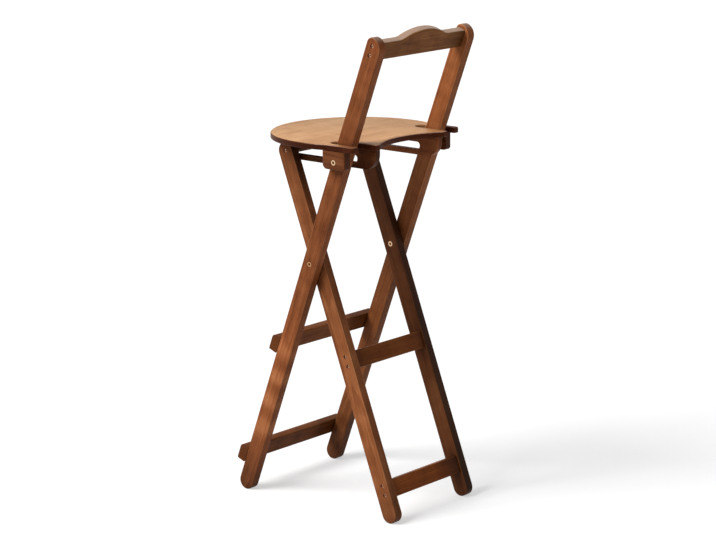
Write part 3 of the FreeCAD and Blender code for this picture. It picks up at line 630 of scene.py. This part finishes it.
def wood_material(name, seed):
    """Walnut-stained, satin-lacquered wood with grain along the piece, edges lightened by wear and a
    painted highlight, darker ends, and painted light and shade.
    """
    thickness, grain = WOOD[name]
    low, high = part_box(name)
    centre = (low + high) / 2
    length = sum(abs(part) * size for part, size in zip(grain, high - low))
    turn = Matrix((thickness, grain.cross(thickness), grain))
    material, tree = new_material("wood_" + name)
    coordinates = tree.add("ShaderNodeTexCoord").outputs
    spot, normal = coordinates["Object"], coordinates["Normal"]
    own = tree.turned(spot, turn, shift=-(turn @ centre))
    through, wide, along = tree.split(tree.turned(normal, turn))

    figure = sawn_figure(tree, name, own, seed)
    tone = curly(tree, own, figure["Tone"]) if name == CURLY_LEG else figure["Tone"]
    edge = on_edge(tree, through)
    end = tree.rise(tree.math("ABSOLUTE", along), *FACES_ALONG)
    colour = tree.blend(tree.math("MULTIPLY", end, END_SHARE), tree.ramp(tone, WOOD_STAIN), END_STAIN)
    # Rounded edges lightened by wear and by a painted highlight.
    if name not in UNDER_SEAT:
        edge_light_level = tree.remap(tree.noise(own, *EDGE_LIGHTENING_NOISE), *EDGE_LIGHTENING, LEAST_EDGE_LIGHTENING, MOST_EDGE_LIGHTENING)
        colour = tree.blend(tree.math("MULTIPLY", edge, edge_light_level), colour, EDGE_WEAR_AND_HIGHLIGHT)
    colour = shaded(tree, name, colour, own, wide, length)
    if name == "seat_board":
        colour = seat_colours(tree, spot, through, edge, tone, colour)
    # A painted highlight on the top of the backrest.
    if name in BACKREST_HIGHLIGHT_SHARE:
        highlight_level = tree.math("MULTIPLY", highlighted_top(tree, spot, normal), BACKREST_HIGHLIGHT_SHARE[name])
        colour = tree.blend(highlight_level, colour, BACKREST_HIGHLIGHT)
    # Painted shade in corners and hollows.
    colour = tree.times(colour, tree.grey(tree.hollow(*WOOD_HOLLOW_SHADE)))
    if name in BORES:
        axes = [turn @ axis for axis in bore_axes(name, centre, thickness)]
        colour = tree.blend(in_bores(tree, own, axes), colour, BORE_WALL)

    roughness = tree.remap(figure["Fibre"], 0.0, 1.0, SMOOTHEST_WOOD, ROUGHEST_WOOD)
    relief = tree.math("SUBTRACT", tree.math("MULTIPLY", figure["Fibre"], FIBRE_RELIEF), figure["Pore"])
    shader = tree.principled(colour, roughness, tree.bump(relief, WOOD_BUMP, WOOD_BUMP_DEPTH))
    shader.inputs["Specular IOR Level"].default_value = WOOD_SPECULAR
    return material


# ----------------------------------------------------------------------------------------------
# Metal
# ----------------------------------------------------------------------------------------------

BRIGHT_BRASS = srgb(240, 212, 172)
DULL_BRASS = srgb(196, 156, 112)
BRIGHT_DARKER_BRASS = srgb(206, 160, 118)
DULL_DARKER_BRASS = srgb(150, 104, 66)
BRIGHT_PLATING = srgb(236, 202, 168)
DULL_PLATING = srgb(170, 130, 98)
# Painted shade in the pivots' sockets, darker than the metal.
SOCKET_SHADE = srgb(150, 92, 62)
SOCKET_RADIUS = 0.0026
SOCKET_EDGE = 0.0008

# Each metal's name, bright and dull colour, least roughness, the axis of its pivot and its nodes.
METALS = (
    ("cross_brass", BRIGHT_BRASS, DULL_BRASS, 0.24, CROSS_AXIS,
     ("cross_pivot_nuts", "cross_pivot_washers")),
    # The cross bolts are a darker, rougher brass than their nuts and washers.
    ("tarnished_brass", BRIGHT_DARKER_BRASS, DULL_DARKER_BRASS, 0.34, CROSS_AXIS,
     ("cross_pivot_bolts",)),
    ("seat_brass", BRIGHT_BRASS, DULL_BRASS, 0.24, SEAT_AXIS,
     ("seat_pivot_bolts", "seat_pivot_nuts", "seat_pivot_washers")),
    ("plated_steel", BRIGHT_PLATING, DULL_PLATING, 0.30, None,
     ("crest_rail_screws", "front_rail_screws", "rear_rail_screws", "slide_rod_screws",
      "pivot_block_screws", "slide_rail_screws")),
)

PATCH_NOISE = ((420.0, 420.0, 420.0), 3.0)
SCRATCH_NOISE = ((300.0, 6000.0, 6000.0), 2.0)
FILM_SHARE = 0.6
FILM_ROUGHNESS = 0.2
# The metal's painted shade in hollows: reach, shut, clear and darkest.
METAL_HOLLOW_SHADE = (0.003, 0.20, 0.75, 0.35)
SCRATCH_BUMP = 0.2
SCRATCH_DEPTH = 0.00003


def metal_material(name, bright, dull, roughness, axis):
    """Metal with fine turning scratches, a dull film in patches and painted shade in its hollows.

    A pivot's axis gives it a dark disc of painted shade in its socket, inside a bright ring.
    """
    material, tree = new_material(name)
    spot = tree.add("ShaderNodeTexCoord").outputs["Object"]
    patches = tree.noise(spot, *PATCH_NOISE)
    colour = tree.blend(tree.math("MULTIPLY", patches, FILM_SHARE), bright, dull)
    if axis is not None:
        away = tree.from_axis(spot, axis)
        colour = tree.blend(tree.remap(away, SOCKET_RADIUS, SOCKET_RADIUS + SOCKET_EDGE), SOCKET_SHADE, colour)
    # Painted shade in corners and hollows.
    colour = tree.times(colour, tree.grey(tree.hollow(*METAL_HOLLOW_SHADE)))
    film = tree.remap(patches, 0.0, 1.0, roughness, roughness + FILM_ROUGHNESS)
    scratches = tree.bump(tree.noise(spot, *SCRATCH_NOISE), SCRATCH_BUMP, SCRATCH_DEPTH)
    shader = tree.principled(colour, film, scratches)
    shader.inputs["Metallic"].default_value = 1.0
    return material


# ----------------------------------------------------------------------------------------------
# Studio
# ----------------------------------------------------------------------------------------------

# The room is brighter on the side of its window. It is behind the stool as the camera sees it.
AMBIENT_WINDOW = 0.42
AMBIENT_ROOM = 0.05
WINDOW_SIDE = Vector((0.50, -0.75, 0.43)).normalized()
SUN_STRENGTH = 2.55
SUN_SPREAD = math.radians(30)
SUN_FROM = Vector((0.645, -0.30, 0.703))
FLOOR_HALF = 40.0
FLOOR_COLOUR = (0.66, 0.66, 0.66, 1.0)
FLOOR_GLOW = 0.50
WHITE = (1.0, 1.0, 1.0, 1.0)


def seen_directly(tree):
    """1 for rays that show the surroundings as they are: from the camera, in gloss or through glass."""
    path = tree.add("ShaderNodeLightPath").outputs
    total = tree.math("ADD", path["Is Camera Ray"], path["Is Glossy Ray"])
    return tree.math("ADD", total, path["Is Transmission Ray"], clamp=True)


def white_world():
    """A white surround to look at, which lights the stool more from the window's side."""
    world = bpy.data.worlds.new("studio")
    world.use_nodes = True
    world.node_tree.nodes.clear()
    tree = Tree(world.node_tree)
    direction = tree.add("ShaderNodeTexCoord").outputs["Generated"]
    towards_window = tree.vector("DOT_PRODUCT", direction, WINDOW_SIDE)
    ambient = tree.remap(towards_window, -1.0, 1.0, AMBIENT_ROOM, AMBIENT_WINDOW)
    background = tree.add("ShaderNodeBackground")
    background.inputs["Color"].default_value = WHITE
    tree.put(background.inputs["Strength"], tree.remap(seen_directly(tree), 0.0, 1.0, ambient, 1.0))
    output = tree.add("ShaderNodeOutputWorld")
    tree.put(output.inputs["Surface"], background.outputs[0])
    bpy.context.scene.world = world


def floor():
    """A wide pale floor that keeps the stool's soft shadow and looks white beyond it."""
    material, tree = new_material("floor_white")
    paint = tree.add("ShaderNodeBsdfDiffuse")
    paint.inputs["Color"].default_value = FLOOR_COLOUR
    glow = tree.add("ShaderNodeEmission")
    tree.put(glow.inputs["Strength"], tree.math("MULTIPLY", seen_directly(tree), FLOOR_GLOW))
    both = tree.add("ShaderNodeAddShader")
    tree.put_all(both, (paint.outputs[0], glow.outputs[0]))
    tree.surface(both)
    corners = [(across * FLOOR_HALF, along * FLOOR_HALF, 0)
               for across, along in ((-1, -1), (1, -1), (1, 1), (-1, 1))]
    mesh = bpy.data.meshes.new("floor")
    mesh.from_pydata(corners, [], [(0, 1, 2, 3)])
    mesh.materials.append(material)
    plane = bpy.data.objects.new("floor", mesh)
    bpy.context.scene.collection.objects.link(plane)


def sun():
    """A broad lamp from high on the stool's front left."""
    light = bpy.data.lights.new("key", "SUN")
    light.energy = SUN_STRENGTH
    light.angle = SUN_SPREAD
    lamp = bpy.data.objects.new("key", light)
    lamp.rotation_mode = "QUATERNION"
    lamp.rotation_quaternion = SUN_FROM.to_track_quat("Z", "Y")
    bpy.context.scene.collection.objects.link(lamp)


# ----------------------------------------------------------------------------------------------
# Camera
# ----------------------------------------------------------------------------------------------

# Fitted to the photograph. The lens and the sensor are in millimetres.
CAMERA_AZIMUTH = math.radians(131.149)
CAMERA_PITCH = math.radians(12.907)
CAMERA_ROLL = math.radians(-0.41)
CAMERA_DISTANCE = 4.6
CAMERA_LENS = 117.01
SENSOR_WIDTH = 36.0
AIM_HEIGHT = 0.4558
AIM_SIDEWAYS = 0.0008
CLIP_END = 200.0


def camera():
    """The photograph's view: from behind the stool's left, a little above the seat."""
    azimuth, pitch, roll = CAMERA_AZIMUTH, CAMERA_PITCH, CAMERA_ROLL
    level = Vector((math.cos(azimuth), math.sin(azimuth), 0))
    back = Vector((math.sin(azimuth) * math.cos(pitch), -math.cos(azimuth) * math.cos(pitch),
                   math.sin(pitch)))
    above = back.cross(level)
    right = level * math.cos(roll) + above * math.sin(roll)
    up = above * math.cos(roll) - level * math.sin(roll)
    place = Vector((0, 0, AIM_HEIGHT)) + level * AIM_SIDEWAYS + back * CAMERA_DISTANCE
    data = bpy.data.cameras.new("camera")
    data.sensor_width = SENSOR_WIDTH
    data.lens = CAMERA_LENS
    data.clip_end = CLIP_END
    eye = bpy.data.objects.new("camera", data)
    eye.matrix_world = Matrix.Translation(place) @ Matrix((right, up, back)).transposed().to_4x4()
    bpy.context.scene.collection.objects.link(eye)
    bpy.context.scene.camera = eye


# ----------------------------------------------------------------------------------------------
# The scene
# ----------------------------------------------------------------------------------------------

for count, wooden in enumerate(WOOD, start=1):
    dress(wooden, wood_material(wooden, count))
for *metal_look, metal_nodes in METALS:
    metal = metal_material(*metal_look)
    for node_name in metal_nodes:
        dress(node_name, metal)
floor()
white_world()
sun()
camera()
bpy.context.scene.view_settings.view_transform = "Standard"

bpy.context.view_layer.update()
